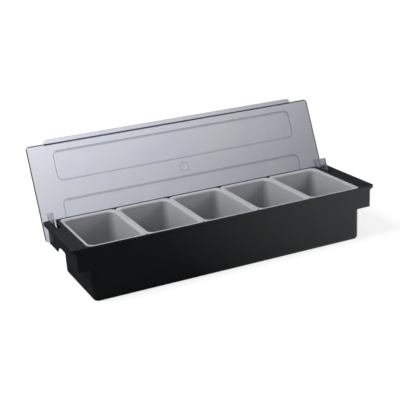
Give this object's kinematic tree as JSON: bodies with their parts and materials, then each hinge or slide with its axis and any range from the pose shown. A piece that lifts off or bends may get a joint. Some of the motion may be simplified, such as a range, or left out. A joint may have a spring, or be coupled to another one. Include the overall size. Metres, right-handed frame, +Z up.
{
  "type": "condiment caddy",
  "caption": "Long black tray with hand-hold skirts at its ends, a row of lift-out inserts and one clear lid that hinges on pegs at its rear corners.",
  "frame": {"origin": "on the surface the caddy stands on, under the middle of the tray", "axes": "+Z up, +X along the length of the caddy to its right end seen from the front, +Y from the front towards the lid hinge"},
  "size_m": [0.495, 0.2053, 0.1929],
  "materials": {
    "tray_plastic": "black moulded plastic with a fine satin texture",
    "insert_plastic": "off-white translucent moulded plastic, satin",
    "lid_plastic": "smoky clear moulded plastic, glossy"
  },
  "bodies": {
    "tray": {"tray": "tray_plastic"},
    "lid": {"lid": "lid_plastic"},
    "insert_1": {"insert_1": "insert_plastic"},
    "insert_2": {"insert_2": "insert_plastic"},
    "insert_3": {"insert_3": "insert_plastic"},
    "insert_4": {"insert_4": "insert_plastic"},
    "insert_5": {"insert_5": "insert_plastic"}
  },
  "joints": [
    {"name": "lid_hinge", "type": "hinge", "parent": "tray", "child": "lid", "pos_m": [0, 0.06102, 0.0728], "axis": [-1, 0, 0], "range_deg": [-113.7, 0]},
    {"name": "insert_1_lift", "type": "slide", "parent": "tray", "child": "insert_1", "axis": [0, 0, 1], "range_m": [0, 0.095]},
    {"name": "insert_2_lift", "type": "slide", "parent": "tray", "child": "insert_2", "axis": [0, 0, 1], "range_m": [0, 0.095]},
    {"name": "insert_3_lift", "type": "slide", "parent": "tray", "child": "insert_3", "axis": [0, 0, 1], "range_m": [0, 0.095]},
    {"name": "insert_4_lift", "type": "slide", "parent": "tray", "child": "insert_4", "axis": [0, 0, 1], "range_m": [0, 0.095]},
    {"name": "insert_5_lift", "type": "slide", "parent": "tray", "child": "insert_5", "axis": [0, 0, 1], "range_m": [0, 0.095]}
  ]
}
